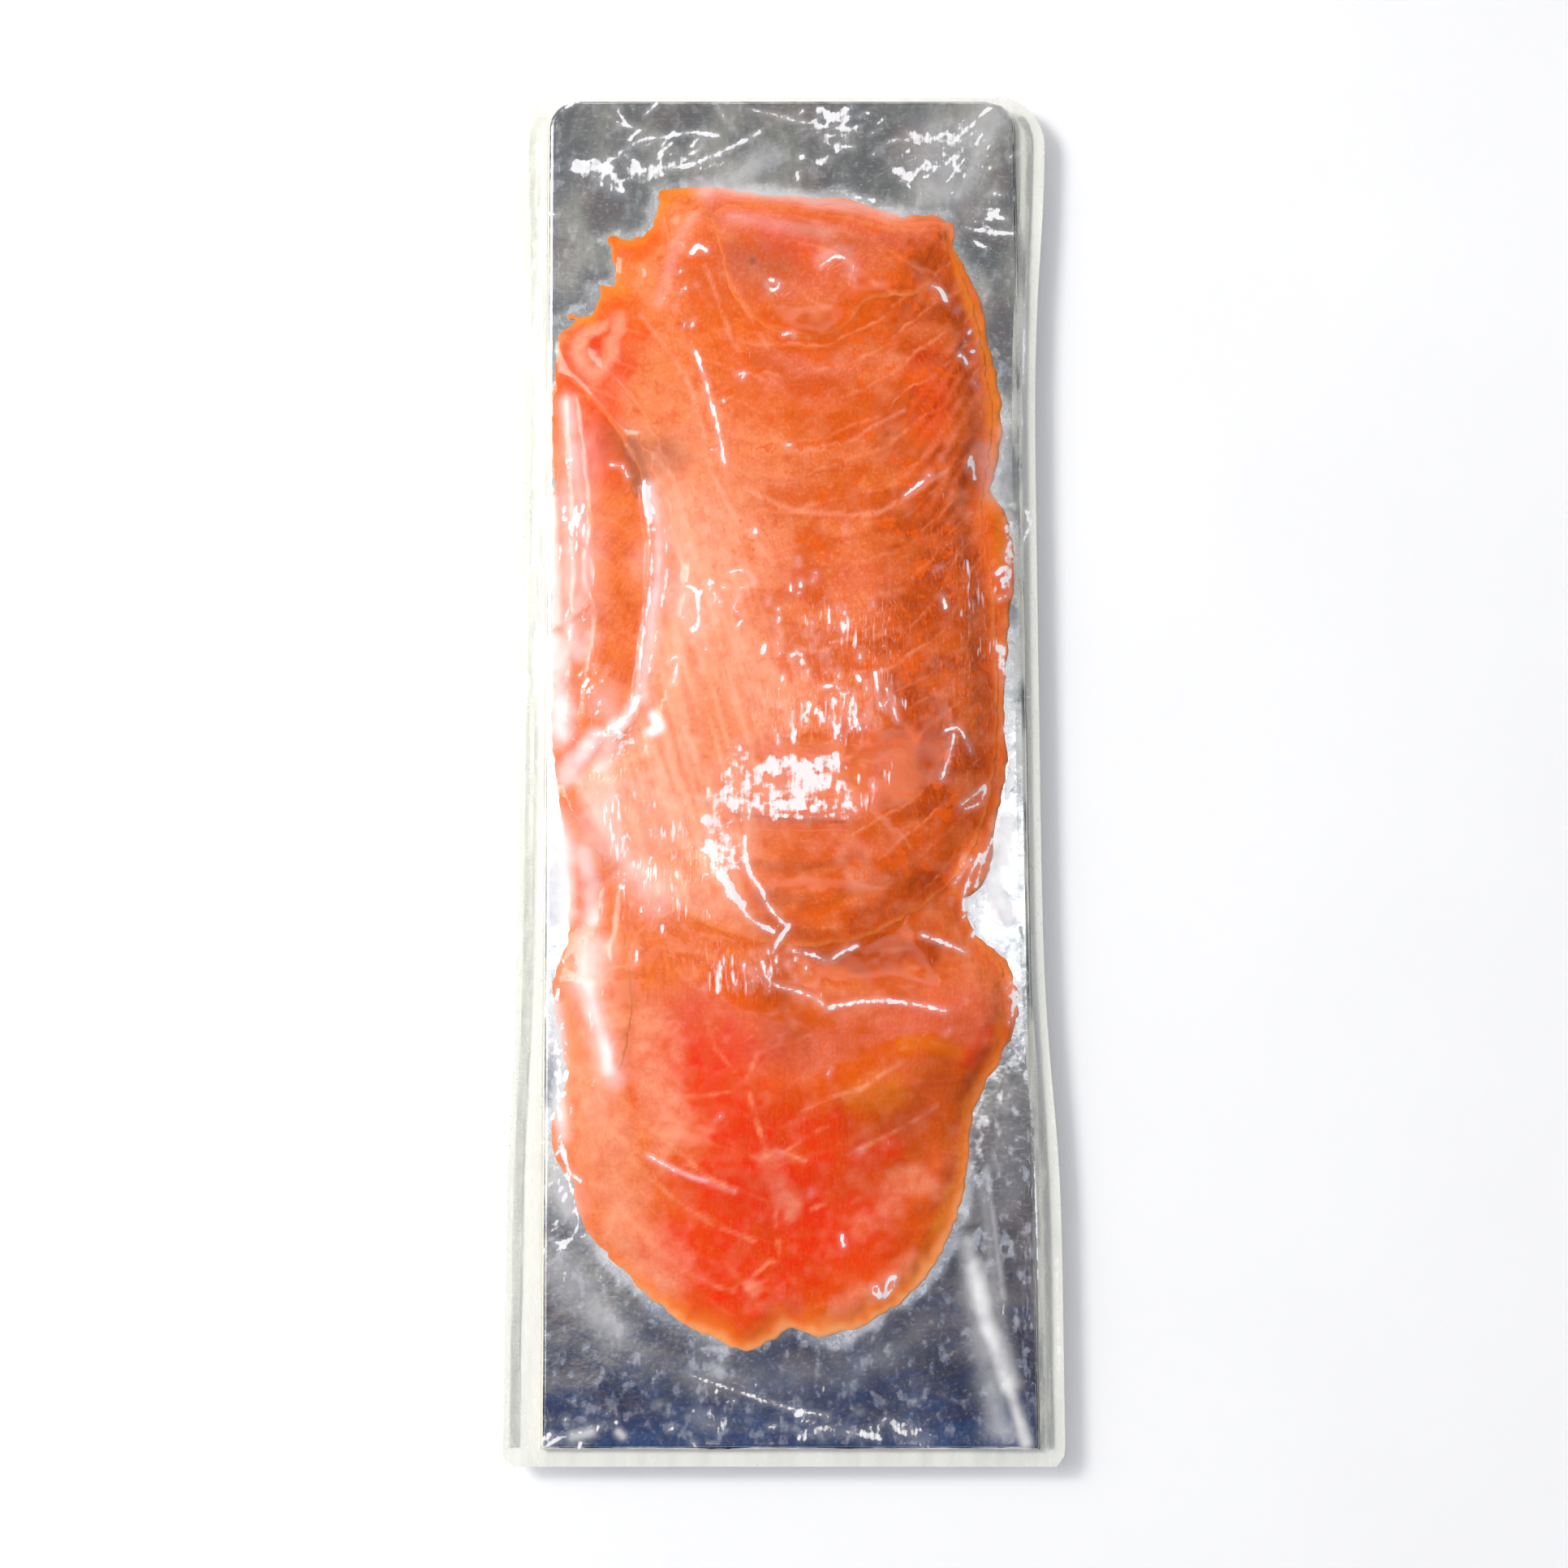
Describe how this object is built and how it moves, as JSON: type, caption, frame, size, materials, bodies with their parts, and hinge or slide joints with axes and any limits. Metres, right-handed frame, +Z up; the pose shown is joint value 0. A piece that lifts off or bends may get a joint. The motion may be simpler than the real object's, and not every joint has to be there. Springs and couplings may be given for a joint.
{
  "type": "pack of smoked salmon",
  "caption": "Flat vacuum pack of overlapping smoked salmon slices on a silver board, sealed in clear film with ribbed welds along the sides",
  "frame": {"origin": "centre of the underside of the pack, on the surface it lies on", "axes": "+X across the pack, +Y along it towards the end with the rounded board corners, +Z up out of the front film"},
  "size_m": [0.114, 0.29, 0.01],
  "materials": {
    "film": "thin clear shrink film, glossy, tight over the fish with fine creases, milky at the ribbed side welds",
    "board": "metallised silver card, softly brushed and slightly crinkled, pale paper core at the cut edge",
    "salmon": "moist cold-smoked salmon flesh, orange to pink with pale fat lines and darker orange-brown patches"
  },
  "bodies": {
    "root": {"bag": "film"}
  },
  "joints": []
}
